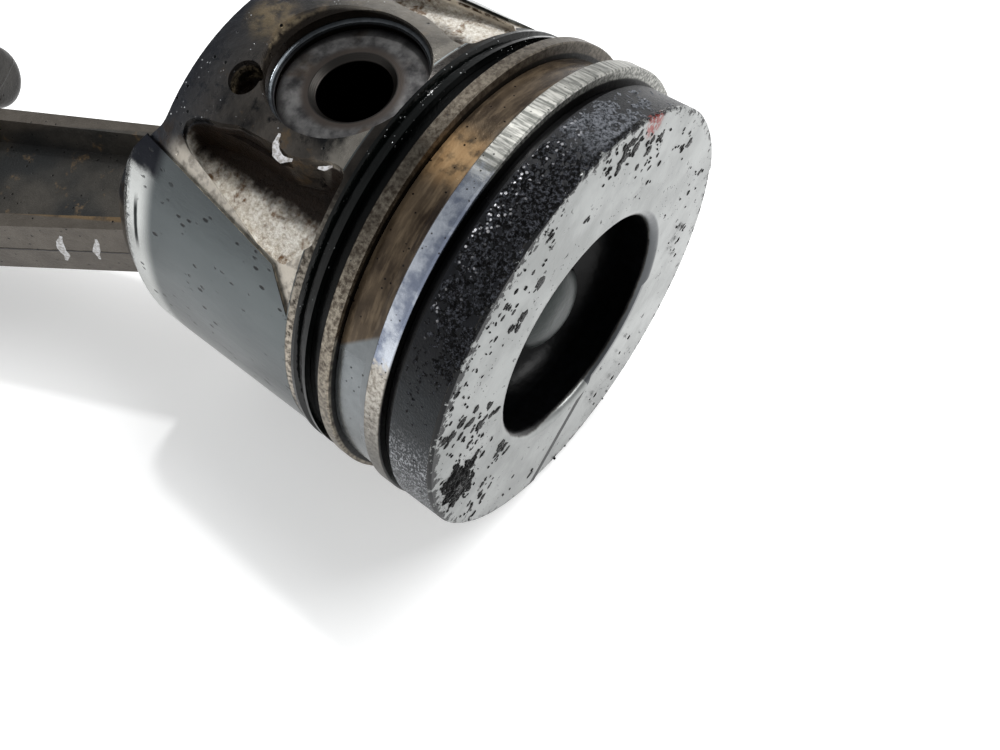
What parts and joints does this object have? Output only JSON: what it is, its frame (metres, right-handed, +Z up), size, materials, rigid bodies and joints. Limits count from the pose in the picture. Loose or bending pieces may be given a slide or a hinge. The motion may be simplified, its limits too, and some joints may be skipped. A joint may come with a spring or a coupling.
{
  "type": "piston and connecting rod",
  "caption": "Diesel engine piston with a dished crown, ring pack, hollow gudgeon pin and round skirt, hinged on a forged I-section connecting rod with a split big end.",
  "frame": {"origin": "on the bench, under the middle of the assembly's bounding box", "axes": "+Z up from the bench, +X from the big end towards the crown, +Y to the left when looking towards the crown. The piston lies on its side, so its gudgeon pin is nearly upright and its cylinder axis nearly along +X"},
  "size_m": [0.209, 0.1536, 0.089],
  "materials": {
    "piston_alloy": "worn, carbon stained",
    "carrier_iron": "carbon stained",
    "ring_face": "polished running face",
    "oil_ring_steel": "oily black",
    "pin_steel": "ground, heat tinted",
    "clip_wire": "oily",
    "forged_steel": "as forged, oily",
    "bush_bronze": "smooth",
    "bearing_metal": "smooth grey",
    "bolt_steel": "black oxide"
  },
  "bodies": {
    "piston": {"piston_body": "piston_alloy", "ring_carrier": "carrier_iron", "front_circlip": "clip_wire", "rear_circlip": "clip_wire"},
    "connecting_rod": {"connecting_rod": "forged_steel", "small_end_bush": "bush_bronze", "big_end_cap": "forged_steel", "upper_bearing_shell": "bearing_metal", "lower_bearing_shell": "bearing_metal", "big_end_bolts": "bolt_steel"},
    "gudgeon_pin": {"gudgeon_pin": "pin_steel"},
    "top_ring": {"top_compression_ring": "ring_face"},
    "second_ring": {"second_compression_ring": "ring_face"},
    "oil_ring": {"oil_control_ring": "oil_ring_steel", "oil_ring_expander": "oil_ring_steel"}
  },
  "joints": [
    {"name": "rod_swing", "type": "hinge", "parent": "piston", "child": "connecting_rod", "pos_m": [0.05806, 0.03167, 0.0433], "axis": [-0.0408, -0.2377, 0.9705], "range_deg": [-61, 4.5]},
    {"name": "pin_turn", "type": "hinge", "parent": "piston", "child": "gudgeon_pin", "pos_m": [0.05806, 0.03167, 0.0433], "axis": [-0.0408, -0.2377, 0.9705], "continuous": true},
    {"name": "top_ring_turn", "type": "hinge", "parent": "piston", "child": "top_ring", "pos_m": [0.08872, 0.03274, 0.04485], "axis": [0.9991, 0, 0.0421], "continuous": true},
    {"name": "second_ring_turn", "type": "hinge", "parent": "piston", "child": "second_ring", "pos_m": [0.07923, 0.03235, 0.04435], "axis": [0.9991, 0, 0.0421], "continuous": true},
    {"name": "oil_ring_turn", "type": "hinge", "parent": "piston", "child": "oil_ring", "pos_m": [0.05806, 0.03167, 0.0433], "axis": [0.9991, 0, 0.0421], "continuous": true}
  ]
}
